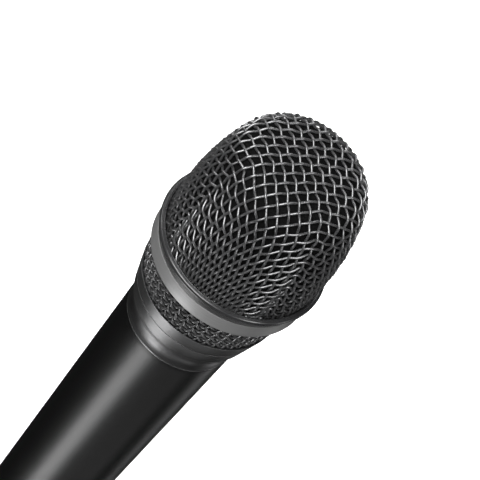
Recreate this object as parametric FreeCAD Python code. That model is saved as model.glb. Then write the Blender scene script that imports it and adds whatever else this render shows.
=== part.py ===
import FreeCAD, Part
import math
import os

# Handheld dynamic microphone. Millimetres. The axis is Z, the origin is the centre of the tail face,
# and +Z points at the grille. Every radius is about Z unless a name says otherwise.

# ---- overall sizes ----
LENGTH = 194.0
LIP_Z = 150.8
BAND_TOP_Z = LIP_Z - 2.95
BAND_BOTTOM_Z = LIP_Z - 8.0
COLLAR_TOP_Z = LIP_Z - 20.55
SEAM_Z = LIP_Z - 25.8
CONE_END_Z = LIP_Z - 30.9
RIDGE_Z = LIP_Z - 39.6

LIP_R = 24.75
BEAD_R = 0.9
BAND_R = 24.4
COLLAR_TOP_R = 21.4
SEAM_R = 20.2
CONE_END_R = 19.0
NECK_R = 16.85
RIDGE_R = 17.15
HANDLE_TAPER = 0.0309
TAIL_R = RIDGE_R - HANDLE_TAPER * RIDGE_Z
SEAM_GAP = 0.25
CLEAR = 0.3

# ---- grille ----
MESH_WALL = 1.3
SIDE_R = 96.0
SIDE_WIDEST_R = 24.42
SIDE_WIDEST_Z = LIP_Z + 11.0
SHOULDER_R = 9.8
CROWN_R = 76.0
MESH_BOTTOM_Z = LIP_Z - 2.3
LOWER_MESH_TOP_Z = BAND_BOTTOM_Z + 1.9
LOWER_MESH_BOTTOM_Z = COLLAR_TOP_Z - 1.05
LOWER_MESH_TOP_R = 23.9
LOWER_MESH_BOTTOM_R = 20.6
BAND_WEB_R = 22.9
HOOP_R = 22.05
HOOP_WALL = 0.8
FOAM_WALL = 3.0
FOAM_STRIP_WALL = 2.0

# ---- screw thread between grille and neck ----
THREAD_R = 18.0
THREAD_CLEAR = 0.06
SPIGOT_TOP_Z = SEAM_Z + 4.5
SPIGOT_BORE_R = 16.4

# ---- handle ----
SHELL_WALL = 2.45
SOCKET_SEAT_R = 11.0
SOCKET_SEAT_Z = 26.0
NECK_SEAT_R = 15.3
NECK_SEAT_DEPTH = 10.0
NECK_BORE_R = 13.4
MOUNT_LEDGE_Z = 112.0
SEAT_CLEAR = 0.02

# ---- tail connector ----
SOCKET_R = 8.1
SOCKET_RECESS = 1.0
PIN_FACE_Z = 13.0
PIN_BACK_Z = 19.0
SLEEVE_TOP_Z = 24.0
PIN_R = 1.18
PIN_TIP_Z = 2.2
PIN_TIP_LENGTH = 0.8
PIN_CIRCLE_R = 4.2
PIN_ROOT_R = 1.5
PIN_TAIL_R = 1.1
PIN_TAIL_Z = 25.0
PIN_ANGLES = (90.0, 210.0, 330.0)
SCREW_Z = 17.0
SCREW_R = 1.25

# ---- transformer and leads ----
CAN_R = 8.5
CAN_Z0 = 48.0
CAN_Z1 = 78.0
CAN_COVER = 2.6
LEAD_R = 0.6
LEAD_SPREAD = 4.2

# ---- cartridge ----
CHAMBER_R = 12.5
CHAMBER_WALL = 1.2
CHAMBER_Z0 = 100.0
CHAMBER_Z1 = 125.0
HOUSING_R = 14.5
HOUSING_WALL = 1.2
HOUSING_Z1 = 147.0
PORT_COUNT = 8
PORT_Z = 131.0
PORT_WIDTH = 5.0
PORT_HEIGHT = 3.2
YOKE_R = 11.4
YOKE_FLOOR_Z = 128.0
YOKE_TOP_Z = 141.0
GAP_OUTER_R = 8.85
POLE_R = 7.65
MAGNET_R = 7.2
COIL_R = 8.25
COIL_WALL = 0.5
DIAPHRAGM_Z = 143.6
DIAPHRAGM_R = 12.2
FILM = 0.25
DOME_RISE = 2.2
SURROUND_RISE = 0.7
CAP_R = 15.6
CAP_TOP_Z = 152.0
CAP_HOLE_R = 0.9
CAP_HOLE_RINGS = ((0.0, 1), (3.4, 6), (6.8, 12), (10.2, 18))


def point(r, z):
    return FreeCAD.Vector(r, 0, z)


def turned(start, *steps):
    """Turn a closed outline about Z. A step is (r, z), or ((r, z) on the way, (r, z)) for an arc."""
    edges = []
    here = point(*start)
    for step in steps + (start,):
        if isinstance(step[0], tuple):
            mid = point(*step[0])
            end = point(*step[1])
            edges.append(Part.Arc(here, mid, end).toShape())
        else:
            end = point(*step)
            if here.distanceToPoint(end) < 1e-6:
                continue
            edges.append(Part.LineSegment(here, end).toShape())
        here = end
    face = Part.Face(Part.Wire(edges))
    return face.revolve(FreeCAD.Vector(0, 0, 0), FreeCAD.Vector(0, 0, 1), 360)


def cylinder(r, z0, z1, x=0.0, y=0.0):
    return Part.makeCylinder(r, z1 - z0, FreeCAD.Vector(x, y, z0))


def ring(inner, outer, z0, z1):
    return turned((inner, z0), (outer, z0), (outer, z1), (inner, z1))


def around(shape, angle):
    copy = shape.copy()
    copy.rotate(FreeCAD.Vector(0, 0, 0), FreeCAD.Vector(0, 0, 1), angle)
    return copy


def on_circle(r, angle):
    return r * math.cos(math.radians(angle)), r * math.sin(math.radians(angle))


def handle_radius(z):
    return TAIL_R + HANDLE_TAPER * z


def arc_point(centre, r, angle):
    return centre[0] + r * math.cos(angle), centre[1] + r * math.sin(angle)


def dome_centres():
    """Centres of the side, shoulder and crown arcs, and the angles where they meet."""
    side = (SIDE_WIDEST_R - SIDE_R, SIDE_WIDEST_Z)
    crown = (0.0, LENGTH - CROWN_R)
    to_side = SIDE_R - SHOULDER_R
    to_crown = CROWN_R - SHOULDER_R
    dx = crown[0] - side[0]
    dz = crown[1] - side[1]
    apart = math.hypot(dx, dz)
    along = (to_side ** 2 - to_crown ** 2 + apart ** 2) / (2 * apart)
    off = math.sqrt(to_side ** 2 - along ** 2)
    shoulder = (side[0] + (along * dx - off * dz) / apart, side[1] + (along * dz + off * dx) / apart)
    low = math.atan2(shoulder[1] - side[1], shoulder[0] - side[0])
    high = math.atan2(shoulder[1] - crown[1], shoulder[0] - crown[0])
    return side, shoulder, crown, low, high


def dome_shell(outer, inner, z0):
    """Closed dome wall between two insets of the grille outline, open at the height z0."""
    side, shoulder, crown, low, high = dome_centres()

    def leaf(inset):
        r_side, r_shoulder, r_crown = SIDE_R - inset, SHOULDER_R - inset, CROWN_R - inset
        foot = math.asin((z0 - side[1]) / r_side)
        return [
            arc_point(side, r_side, foot),
            (arc_point(side, r_side, (foot + low) / 2), arc_point(side, r_side, low)),
            (arc_point(shoulder, r_shoulder, (low + high) / 2), arc_point(shoulder, r_shoulder, high)),
            (arc_point(crown, r_crown, (high + math.pi / 2) / 2), (0.0, crown[1] + r_crown)),
        ]

    up = leaf(outer)
    down = leaf(inner)
    back = [
        down[3][1],
        (down[3][0], down[2][1]),
        (down[2][0], down[1][1]),
        (down[1][0], down[0]),
    ]
    return turned(up[0], *up[1:], *back)


# ---- grille pieces ----
def upper_mesh():
    return dome_shell(0.0, MESH_WALL, MESH_BOTTOM_Z)


def lower_mesh_radius(z):
    """Lower mesh outline: a cone with a slight outward bow."""
    t = (z - LOWER_MESH_BOTTOM_Z) / (LOWER_MESH_TOP_Z - LOWER_MESH_BOTTOM_Z)
    straight = LOWER_MESH_BOTTOM_R + t * (LOWER_MESH_TOP_R - LOWER_MESH_BOTTOM_R)
    return straight + 0.35 * 4 * t * (1 - t)


def bowed_strip(inset, wall, z0, z1):
    """Band of the lower mesh outline, set in from it, between two heights."""
    middle = (z0 + z1) / 2
    outer = [(lower_mesh_radius(z) - inset, z) for z in (z0, middle, z1)]
    inner = [(r - wall, z) for r, z in outer]
    return turned(outer[0], (outer[1], outer[2]), inner[2], (inner[1], inner[0]))


def lower_mesh():
    return bowed_strip(0.0, MESH_WALL, LOWER_MESH_BOTTOM_Z, LOWER_MESH_TOP_Z)


def band_ring():
    """Rounded bead over a plain band, with a web inside that keeps the two meshes apart."""
    bead_z = LIP_Z + 0.4
    lean = math.radians(-30.0)
    flank = arc_point((LIP_R, bead_z), BEAD_R, lean)
    crest = arc_point((LIP_R, bead_z), BEAD_R, math.radians(75.0))
    mesh_seat_r = LIP_R - BEAD_R
    return turned(
        (BAND_R, BAND_BOTTOM_Z),
        (BAND_R, BAND_TOP_Z - 0.25),
        (BAND_R - 0.2, BAND_TOP_Z - 0.1),
        (BAND_R, BAND_TOP_Z + 0.05),
        flank,
        (crest, (mesh_seat_r, bead_z)),
        (mesh_seat_r, MESH_BOTTOM_Z),
        (BAND_WEB_R, MESH_BOTTOM_Z),
        (BAND_WEB_R, LOWER_MESH_TOP_Z),
        (LOWER_MESH_TOP_R + 0.05, LOWER_MESH_TOP_Z),
        (LOWER_MESH_TOP_R + 0.05, BAND_BOTTOM_Z),
    )


def inner_hoop():
    """Thin hoop that presses both mesh edges into the band."""
    return ring(HOOP_R - HOOP_WALL, HOOP_R, BAND_BOTTOM_Z + 0.8, LIP_Z - 0.9)


def grille_collar():
    """Threaded collar under the lower mesh, with a rim round the mesh edge."""
    rim = 0.45
    shelf_z = LOWER_MESH_BOTTOM_Z
    bore_r = THREAD_R + THREAD_CLEAR
    return turned(
        (bore_r, SEAM_Z),
        (SEAM_R - 0.1, SEAM_Z),
        (SEAM_R, SEAM_Z + 0.1),
        (COLLAR_TOP_R, COLLAR_TOP_Z - 0.15),
        (COLLAR_TOP_R - 0.15, COLLAR_TOP_Z),
        (COLLAR_TOP_R - rim, COLLAR_TOP_Z),
        (COLLAR_TOP_R - rim, shelf_z),
        (bore_r, shelf_z),
    )


def foam_liner():
    return dome_shell(MESH_WALL + CLEAR, MESH_WALL + CLEAR + FOAM_WALL, LIP_Z + 0.2)


def foam_strip():
    return bowed_strip(MESH_WALL + CLEAR, FOAM_STRIP_WALL, COLLAR_TOP_Z + 1.5, BAND_BOTTOM_Z + 0.4)


# ---- handle pieces ----
def screw_hole():
    """Radial hole for the grub screw, from the axis out through the shell."""
    start = FreeCAD.Vector(0, -SOCKET_R + 0.5, SCREW_Z)
    return Part.makeCylinder(SCREW_R + SEAT_CLEAR, TAIL_R, start, FreeCAD.Vector(0, -1, 0))


def handle_shell():
    """Tapered tube with a seat for the connector at the tail and one for the neck ring on top."""
    chamfer = 0.6
    shell = turned(
        (SOCKET_SEAT_R, 0),
        (TAIL_R - chamfer, 0),
        (handle_radius(chamfer), chamfer),
        (RIDGE_R, RIDGE_Z),
        (NECK_SEAT_R, RIDGE_Z),
        (NECK_SEAT_R, RIDGE_Z - NECK_SEAT_DEPTH),
        (RIDGE_R - SHELL_WALL - 0.6, RIDGE_Z - NECK_SEAT_DEPTH - 1.5),
        (handle_radius(SOCKET_SEAT_Z + 1.0) - SHELL_WALL, SOCKET_SEAT_Z + 1.0),
        (SOCKET_SEAT_R, SOCKET_SEAT_Z),
    )
    return shell.cut(screw_hole())


def neck_ring():
    """Flared ring pressed into the shell: cone, concave groove, and the male thread above the seam."""
    shoulder_z = SEAM_Z - SEAM_GAP
    gasket_floor = shoulder_z - 0.65
    return turned(
        (NECK_BORE_R, RIDGE_Z - NECK_SEAT_DEPTH + 0.5),
        (NECK_SEAT_R - SEAT_CLEAR, RIDGE_Z - NECK_SEAT_DEPTH + 0.5),
        (NECK_SEAT_R - SEAT_CLEAR, RIDGE_Z + 0.05),
        (RIDGE_R - 0.1, RIDGE_Z + 0.05),
        (RIDGE_R, RIDGE_Z + 0.35),
        ((NECK_R, RIDGE_Z + 3.4), (CONE_END_R - 0.35, CONE_END_Z - 0.9)),
        (CONE_END_R, CONE_END_Z),
        (SEAM_R - 0.15, shoulder_z - 0.1),
        (SEAM_R - 0.25, shoulder_z),
        (THREAD_R + 1.5, shoulder_z),
        (THREAD_R + 1.5, gasket_floor),
        (THREAD_R + 0.5, gasket_floor),
        (THREAD_R + 0.5, shoulder_z),
        (THREAD_R, shoulder_z),
        (THREAD_R, SPIGOT_TOP_Z - 0.4),
        (THREAD_R - 0.4, SPIGOT_TOP_Z),
        (SPIGOT_BORE_R, SPIGOT_TOP_Z),
        (SPIGOT_BORE_R, MOUNT_LEDGE_Z),
        (NECK_BORE_R, MOUNT_LEDGE_Z),
    )


def seam_gasket():
    """Flat rubber ring in the shoulder of the neck ring."""
    shoulder_z = SEAM_Z - SEAM_GAP
    return ring(THREAD_R + 0.52, THREAD_R + 1.48, shoulder_z - 0.65, shoulder_z - 0.02)


def connector_sleeve():
    """Metal sleeve of the plug socket, with a latch notch at the mouth and a latch groove inside."""
    sleeve = ring(SOCKET_R, SOCKET_SEAT_R - SEAT_CLEAR, SOCKET_RECESS, SLEEVE_TOP_Z)
    notch = Part.makeBox(5.0, 2.0, 2.4, FreeCAD.Vector(-2.5, SOCKET_R - 0.4, SOCKET_RECESS - 0.1))
    groove = ring(SOCKET_R - 1.0, SOCKET_R + 0.7, 7.0, 8.6)
    return sleeve.cut(notch).cut(groove).cut(screw_hole())


def connector_insulator():
    """Moulded disc that holds the contact pins."""
    disc = cylinder(SOCKET_R - SEAT_CLEAR, PIN_FACE_Z, PIN_BACK_Z)
    for angle in PIN_ANGLES:
        x, y = on_circle(PIN_CIRCLE_R, angle)
        disc = disc.cut(cylinder(PIN_ROOT_R + SEAT_CLEAR, PIN_FACE_Z - 1, PIN_BACK_Z + 1, x, y))
    return disc


def contact_pin(angle):
    """Round contact with a rounded tip, a thicker root in the insulator and a solder tail."""
    pin = turned(
        (0, PIN_TIP_Z),
        (PIN_R * 0.45, PIN_TIP_Z),
        ((PIN_R * 0.87, PIN_TIP_Z + PIN_TIP_LENGTH * 0.35), (PIN_R, PIN_TIP_Z + PIN_TIP_LENGTH)),
        (PIN_R, PIN_FACE_Z),
        (PIN_ROOT_R, PIN_FACE_Z),
        (PIN_ROOT_R, PIN_BACK_Z),
        (PIN_TAIL_R, PIN_BACK_Z),
        (PIN_TAIL_R, PIN_TAIL_Z),
        (0, PIN_TAIL_Z),
    )
    x, y = on_circle(PIN_CIRCLE_R, angle)
    pin.translate(FreeCAD.Vector(x, y, 0))
    return pin


def insert_screw():
    """Grub screw that holds the connector sleeve in the handle, with a slot across its outer end."""
    inner = SOCKET_R + 0.6
    outer = handle_radius(SCREW_Z) - 0.5
    body = Part.makeCylinder(
        SCREW_R, outer - inner, FreeCAD.Vector(0, -inner, SCREW_Z), FreeCAD.Vector(0, -1, 0)
    )
    slot = Part.makeBox(3.0, 0.8, 0.5, FreeCAD.Vector(-1.5, -outer - 0.1, SCREW_Z - 0.25))
    return body.cut(slot)


def transformer_can():
    """Closed can with rounded ends."""
    edge = 1.2
    return turned(
        (0, CAN_Z0),
        (CAN_R - edge, CAN_Z0),
        ((CAN_R - edge * 0.293, CAN_Z0 + edge * 0.293), (CAN_R, CAN_Z0 + edge)),
        (CAN_R, CAN_Z1 - edge),
        ((CAN_R - edge * 0.293, CAN_Z1 - edge * 0.293), (CAN_R - edge, CAN_Z1)),
        (0, CAN_Z1),
    )


def transformer_sleeve():
    """Foam sleeve that keeps the can quiet in the handle."""
    return ring(CAN_R, CAN_R + CAN_COVER, CAN_Z0 + 3, CAN_Z1 - 3)


def lead(start, *corners):
    """Insulated wire: straight runs joined by tangent arcs, round in section."""
    points = [FreeCAD.Vector(*p) for p in (start,) + corners]
    edges = []
    here = points[0]
    for before, corner, after in zip(points, points[1:], points[2:]):
        into = (corner - before).normalize()
        out = (after - corner).normalize()
        half_turn = into.getAngle(out) / 2
        run = min((corner - before).Length, (after - corner).Length)
        back = 0.45 * run
        radius = back / math.tan(half_turn)
        first = corner - into * back
        last = corner + out * back
        inward = (out - into).normalize()
        centre = corner + inward * (radius / math.cos(half_turn))
        middle = centre - inward * radius
        edges.append(Part.LineSegment(here, first).toShape())
        edges.append(Part.Arc(first, middle, last).toShape())
        here = last
    edges.append(Part.LineSegment(here, points[-1]).toShape())
    path = Part.Wire(edges)
    direction = (points[1] - points[0]).normalize()
    section = Part.Wire([Part.makeCircle(LEAD_R, points[0], direction)])
    return path.makePipeShell([section], True, False)


def connector_lead(angle):
    """Lead from a solder tail up to the transformer."""
    x, y = on_circle(PIN_CIRCLE_R, angle)
    far_x, far_y = on_circle(LEAD_SPREAD, angle + 25)
    out_x, out_y = on_circle(PIN_CIRCLE_R + 2.0, angle + 20)
    return lead(
        (x, y, PIN_TAIL_Z),
        (x, y, PIN_TAIL_Z + 5),
        (out_x, out_y, PIN_TAIL_Z + 12),
        (far_x, far_y, CAN_Z0 - 4),
        (far_x, far_y, CAN_Z0),
    )


def cartridge_lead(angle):
    """Lead from the transformer up to a terminal of the cartridge."""
    x, y = on_circle(LEAD_SPREAD, angle)
    out_x, out_y = on_circle(LEAD_SPREAD + 2.5, angle + 30)
    return lead(
        (x, y, CAN_Z1),
        (x, y, CAN_Z1 + 4),
        (out_x, out_y, CAN_Z1 + 9),
        (x, y, CAN_Z1 + 15),
        (x, y, CHAMBER_Z0 - 2.2),
    )


# ---- cartridge pieces ----
def shock_mount():
    """Rubber bellows: a sleeve on the cartridge, a rolled web, and a rim in the neck ring."""
    z0, z1 = MOUNT_LEDGE_Z, MOUNT_LEDGE_Z + 9.0
    inner, outer = CHAMBER_R, SPIGOT_BORE_R - SEAT_CLEAR
    skin = 0.9
    middle = (inner + outer) / 2
    return turned(
        (outer, z0),
        (outer, z1 - 1.0),
        ((middle, z1 + 0.7), (inner, z1 - 1.0)),
        (inner, z0 + 0.6),
        (inner + skin, z0 + 0.6),
        (inner + skin, z1 - 1.6),
        ((middle, z1 - 0.3), (outer - skin, z1 - 1.6)),
        (outer - skin, z0),
    )


def rear_chamber():
    """Closed cup behind the capsule: the air in it tunes the low notes."""
    step = HOUSING_R - HOUSING_WALL - 0.02
    return turned(
        (0, CHAMBER_Z0),
        (CHAMBER_R - 1.0, CHAMBER_Z0),
        (CHAMBER_R - SEAT_CLEAR, CHAMBER_Z0 + 1.0),
        (CHAMBER_R - SEAT_CLEAR, CHAMBER_Z1),
        (step, CHAMBER_Z1),
        (step, CHAMBER_Z1 + 1.5),
        (CHAMBER_R - CHAMBER_WALL, CHAMBER_Z1 + 1.5),
        (CHAMBER_R - CHAMBER_WALL, CHAMBER_Z0 + CHAMBER_WALL),
        (0, CHAMBER_Z0 + CHAMBER_WALL),
    )


def terminal_board():
    return ring(1.5, 8.0, CHAMBER_Z0 - 1.2, CHAMBER_Z0)


def terminal(angle):
    """Solder stud on the terminal board."""
    x, y = on_circle(LEAD_SPREAD, angle)
    return cylinder(1.0, CHAMBER_Z0 - 2.2, CHAMBER_Z0 - 1.2, x, y)


def terminal_studs():
    return Part.makeCompound([terminal(angle) for angle in (0.0, 180.0)])


def capsule_housing():
    """Cup that carries the motor, with side ports for the sound that reaches the back."""
    floor_z = CHAMBER_Z1 + 1.5
    inner = HOUSING_R - HOUSING_WALL
    cup = turned(
        (GAP_OUTER_R, floor_z),
        (inner, floor_z),
        (inner, CHAMBER_Z1),
        (HOUSING_R, CHAMBER_Z1),
        (HOUSING_R, HOUSING_Z1),
        (inner, HOUSING_Z1),
        (inner, YOKE_FLOOR_Z),
        (GAP_OUTER_R, YOKE_FLOOR_Z),
    )
    port = Part.makeBox(
        HOUSING_WALL + 2, PORT_WIDTH, PORT_HEIGHT,
        FreeCAD.Vector(HOUSING_R - HOUSING_WALL - 1, -PORT_WIDTH / 2, PORT_Z),
    )
    for i in range(PORT_COUNT):
        cup = cup.cut(around(port, 360.0 * i / PORT_COUNT))
    return cup


def port_cloth():
    """Band of acoustic cloth inside the side ports."""
    outer = HOUSING_R - HOUSING_WALL
    return ring(outer - 0.4, outer, PORT_Z - 1.0, PORT_Z + PORT_HEIGHT + 1.0)


def yoke_cup():
    """Soft-iron cup: its rim is the outer side of the magnet gap."""
    return turned(
        (0, YOKE_FLOOR_Z),
        (YOKE_R, YOKE_FLOOR_Z),
        (YOKE_R, YOKE_TOP_Z),
        (GAP_OUTER_R, YOKE_TOP_Z),
        (GAP_OUTER_R, YOKE_TOP_Z - 3.0),
        (YOKE_R - 1.4, YOKE_TOP_Z - 3.0),
        (YOKE_R - 1.4, YOKE_FLOOR_Z + 2.5),
        (0, YOKE_FLOOR_Z + 2.5),
    )


def magnet():
    return cylinder(MAGNET_R, YOKE_FLOOR_Z + 2.5, YOKE_TOP_Z - 3.0)


def pole_piece():
    """Soft-iron disc on the magnet: the inner side of the magnet gap."""
    return turned(
        (0, YOKE_TOP_Z - 3.0),
        (POLE_R, YOKE_TOP_Z - 3.0),
        (POLE_R, YOKE_TOP_Z - 0.4),
        (POLE_R - 0.4, YOKE_TOP_Z),
        (0, YOKE_TOP_Z),
    )


def frame_ring():
    """Plastic ring between the yoke and the diaphragm's edge."""
    return ring(YOKE_R + 0.02, HOUSING_R - HOUSING_WALL - 0.02, YOKE_TOP_Z - 3.5, DIAPHRAGM_Z)


def clamp_ring():
    """Ring that holds the edge of the diaphragm down."""
    inner = DIAPHRAGM_R + 0.1
    return ring(inner, HOUSING_R - HOUSING_WALL - 0.02, DIAPHRAGM_Z + FILM, DIAPHRAGM_Z + 2.0)


def diaphragm():
    """Thin domed film over the voice coil: the cap of a sphere."""
    r = COIL_R + 0.3
    z = DIAPHRAGM_Z
    sphere_r = (r ** 2 + DOME_RISE ** 2) / (2 * DOME_RISE)
    half = math.asin(r / sphere_r) / 2
    mid_r = sphere_r * math.sin(half)
    mid_z = z + DOME_RISE - sphere_r * (1 - math.cos(half))
    top = z + DOME_RISE
    return turned(
        (0, top),
        ((mid_r, mid_z), (r, z)),
        (r, z + FILM),
        ((mid_r, mid_z + FILM), (0, top + FILM)),
    )


def surround():
    """Rolled edge of the film, from the dome out to the clamp ring."""
    inner = COIL_R + 0.3
    outer = DIAPHRAGM_R + 0.1
    middle = (inner + outer) / 2
    z = DIAPHRAGM_Z
    return turned(
        (inner, z),
        ((middle, z + SURROUND_RISE), (outer, z)),
        (outer, z + FILM),
        ((middle, z + SURROUND_RISE + FILM), (inner, z + FILM)),
    )


def voice_coil():
    """Coil and former, hung under the film in the magnet gap."""
    return ring(COIL_R - COIL_WALL / 2, COIL_R + COIL_WALL / 2, YOKE_TOP_Z - 4.0, DIAPHRAGM_Z)


def resonator_cap():
    """Front cap over the diaphragm, pierced with rings of sound holes."""
    cap = turned(
        (0, CAP_TOP_Z - 1.2),
        (HOUSING_R - 1.5, CAP_TOP_Z - 1.2),
        (HOUSING_R - 1.5, HOUSING_Z1),
        (HOUSING_R + SEAT_CLEAR, HOUSING_Z1),
        (HOUSING_R + SEAT_CLEAR, HOUSING_Z1 - 3.5),
        (CAP_R, HOUSING_Z1 - 3.5),
        (CAP_R, CAP_TOP_Z - 1.5),
        ((CAP_R - 0.44, CAP_TOP_Z - 0.44), (CAP_R - 1.5, CAP_TOP_Z)),
        (0, CAP_TOP_Z),
    )
    for r, count in CAP_HOLE_RINGS:
        for i in range(count):
            x, y = on_circle(r, 360.0 * i / count)
            cap = cap.cut(cylinder(CAP_HOLE_R, CAP_TOP_Z - 3, CAP_TOP_Z + 1, x, y))
    return cap


def front_cloth():
    """Disc of acoustic cloth under the front cap."""
    return cylinder(HOUSING_R - 1.6, CAP_TOP_Z - 1.7, CAP_TOP_Z - 1.2)


def pieces():
    nodes = {
        "upper_mesh": upper_mesh(),
        "lower_mesh": lower_mesh(),
        "band_ring": band_ring(),
        "inner_hoop": inner_hoop(),
        "grille_collar": grille_collar(),
        "foam_liner": foam_liner(),
        "foam_strip": foam_strip(),
        "handle_shell": handle_shell(),
        "neck_ring": neck_ring(),
        "seam_gasket": seam_gasket(),
        "connector_sleeve": connector_sleeve(),
        "connector_insulator": connector_insulator(),
        "insert_screw": insert_screw(),
        "transformer_can": transformer_can(),
        "transformer_sleeve": transformer_sleeve(),
        "shock_mount": shock_mount(),
        "rear_chamber": rear_chamber(),
        "terminal_board": terminal_board(),
        "terminal_studs": terminal_studs(),
        "capsule_housing": capsule_housing(),
        "port_cloth": port_cloth(),
        "yoke_cup": yoke_cup(),
        "magnet": magnet(),
        "pole_piece": pole_piece(),
        "frame_ring": frame_ring(),
        "clamp_ring": clamp_ring(),
        "diaphragm": diaphragm(),
        "surround": surround(),
        "voice_coil": voice_coil(),
        "resonator_cap": resonator_cap(),
        "front_cloth": front_cloth(),
        "cartridge_lead_1": cartridge_lead(0.0),
        "cartridge_lead_2": cartridge_lead(180.0),
    }
    for number, angle in enumerate(PIN_ANGLES, start=1):
        nodes["contact_pin_%d" % number] = contact_pin(angle)
        nodes["connector_lead_%d" % number] = connector_lead(angle)
    return nodes


os.makedirs("parts", exist_ok=True)
for name, shape in pieces().items():
    closed = all(s.isClosed() for s in shape.Shells)
    if not (shape.isValid() and closed and shape.Solids):
        raise ValueError("%s isn't a valid closed solid" % name)
    shape.exportStep("parts/%s.step" % name)
    print("%-22s solids %d volume %.1f mm3" % (name, len(shape.Solids), shape.Volume))
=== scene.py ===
import math

import bpy
import numpy as np
from bpy.props import FloatProperty, FloatVectorProperty, IntProperty, PointerProperty
from bpy.types import Operator, Panel, PropertyGroup
from mathutils import Matrix, Vector


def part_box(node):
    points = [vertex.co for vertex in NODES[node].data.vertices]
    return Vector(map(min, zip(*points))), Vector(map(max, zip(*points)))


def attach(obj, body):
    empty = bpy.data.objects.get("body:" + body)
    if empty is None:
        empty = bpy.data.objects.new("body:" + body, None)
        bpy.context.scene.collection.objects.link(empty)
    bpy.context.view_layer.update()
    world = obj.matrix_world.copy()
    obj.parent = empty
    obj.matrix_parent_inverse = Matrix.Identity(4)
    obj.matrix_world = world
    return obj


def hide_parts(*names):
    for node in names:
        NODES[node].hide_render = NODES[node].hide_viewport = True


bl_info = {
    "name": "Handheld Microphone Finisher",
    "version": (1, 0, 0),
    "blender": (4, 5, 0),
    "location": "View3D > Sidebar > Microphone",
    "description": "Weaves the grilles, turns the housings and finishes every part of a handheld microphone",
    "category": "Add Mesh",
}

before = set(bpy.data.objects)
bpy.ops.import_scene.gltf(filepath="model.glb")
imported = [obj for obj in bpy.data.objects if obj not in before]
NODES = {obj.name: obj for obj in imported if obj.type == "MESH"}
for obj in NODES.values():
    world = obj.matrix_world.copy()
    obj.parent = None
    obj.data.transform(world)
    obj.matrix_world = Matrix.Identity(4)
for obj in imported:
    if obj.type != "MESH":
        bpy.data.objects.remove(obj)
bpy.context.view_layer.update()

MM = 0.001
TAU = 2 * math.pi
SEED = 7

# Places that come from the frame, in metres.
APEX_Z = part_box("upper_mesh")[1].z
MESH_FOOT_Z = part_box("upper_mesh")[0].z
WIDEST_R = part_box("upper_mesh")[1].x
BAND_LOW, BAND_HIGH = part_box("band_ring")
BEAD_R = 0.9 * MM
LIP_Z = BAND_HIGH.z - BEAD_R - 0.4 * MM
STRIP_LOW, STRIP_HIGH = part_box("lower_mesh")
COLLAR_LOW, COLLAR_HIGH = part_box("grille_collar")
NECK_LOW, NECK_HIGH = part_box("neck_ring")
SHELL_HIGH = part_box("handle_shell")[1]

# Grille outline: three arcs, a long side, a shoulder and a crown. EYE_Z is the point that it is seen from.
SIDE_R = 96.0 * MM
SHOULDER_R = 9.8 * MM
CROWN_R = 76.0 * MM
WIDEST_Z = LIP_Z + 11.0 * MM
EYE_Z = WIDEST_Z + 8.0 * MM
WALL = 1.3 * MM
OUTLINE_POINTS, SKIRT_POINTS = 3000, 400

# Weave: how the net is laid, settled and drawn. The warp is crimped by its share of the wire's diameter.
NET_KNOTS = 26
NEWTON_STEPS = 12
SETTLE_ROUNDS = 1500
OVERSHOOT = 1.6
STIFFNESS = 0.01
KNOT_STEPS = 8
WARP_WAVE = 0.62

# Lower grille: radii of its middle surface at foot and top, its bow, and its flare over its slant height.
STRIP_FOOT_R, STRIP_TOP_R = (20.6 - 0.75) * MM, (23.9 - 0.75) * MM
STRIP_BOW = 0.35 * MM
STRIP_FLARE, STRIP_SLANT = 3.3 * MM, 15.5 * MM

# Foam: how far behind the grille's face each side of the liner lies, and the strip's own depth and wall.
LINER_FRONT, LINER_BACK = WALL + 0.5 * MM, WALL + 3.3 * MM
RING_DEPTH, RING_WALL = 1.05 * MM, 1.8 * MM

# Turned parts: seam, waist and taper, the usual rounding, the corners that get it, and tool marks.
SEAM_R, SEAM_GAP = 20.2 * MM, 0.25 * MM
WAIST_R = 16.85 * MM
HANDLE_TAPER = 0.0309
EDGE = 0.15 * MM
SHARP = math.radians(20)
MARK_DEPTH = 0.003 * MM


# ------------------------------------------------ mesh helpers
def put_mesh(name, points, quads, tris, body, stands_for):
    """Makes one closed mesh piece from whole arrays, turns its faces outward, and puts it on its body."""
    points = np.asarray(points, np.float64).reshape(-1, 3)
    quads = np.asarray(quads, np.int64).reshape(-1, 4)
    tris = np.asarray(tris, np.int64).reshape(-1, 3)
    halves = np.concatenate([quads[:, [0, 1, 2]], quads[:, [0, 2, 3]], tris])
    a, b, c = points[halves[:, 0]], points[halves[:, 1]], points[halves[:, 2]]
    if np.einsum("ij,ij->i", a, np.cross(b, c)).sum() < 0:
        quads, tris = quads[:, ::-1], tris[:, ::-1]
    mesh = bpy.data.meshes.new(name)
    mesh.vertices.add(len(points))
    mesh.vertices.foreach_set("co", points.astype(np.float32).ravel())
    mesh.loops.add(quads.size + tris.size)
    mesh.loops.foreach_set("vertex_index", np.concatenate([quads.ravel(), tris.ravel()]).astype(np.int32))
    mesh.polygons.add(len(quads) + len(tris))
    starts = np.concatenate([np.arange(len(quads)) * 4, quads.size + np.arange(len(tris)) * 3])
    mesh.polygons.foreach_set("loop_start", starts.astype(np.int32))
    mesh.polygons.foreach_set("use_smooth", np.full(len(starts), True))
    mesh.update(calc_edges=True)
    if mesh.validate():
        raise RuntimeError(name + " has faulty faces")
    piece = bpy.data.objects.new(name, mesh)
    bpy.context.scene.collection.objects.link(piece)
    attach(piece, body)
    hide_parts(*stands_for)
    return piece


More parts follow.
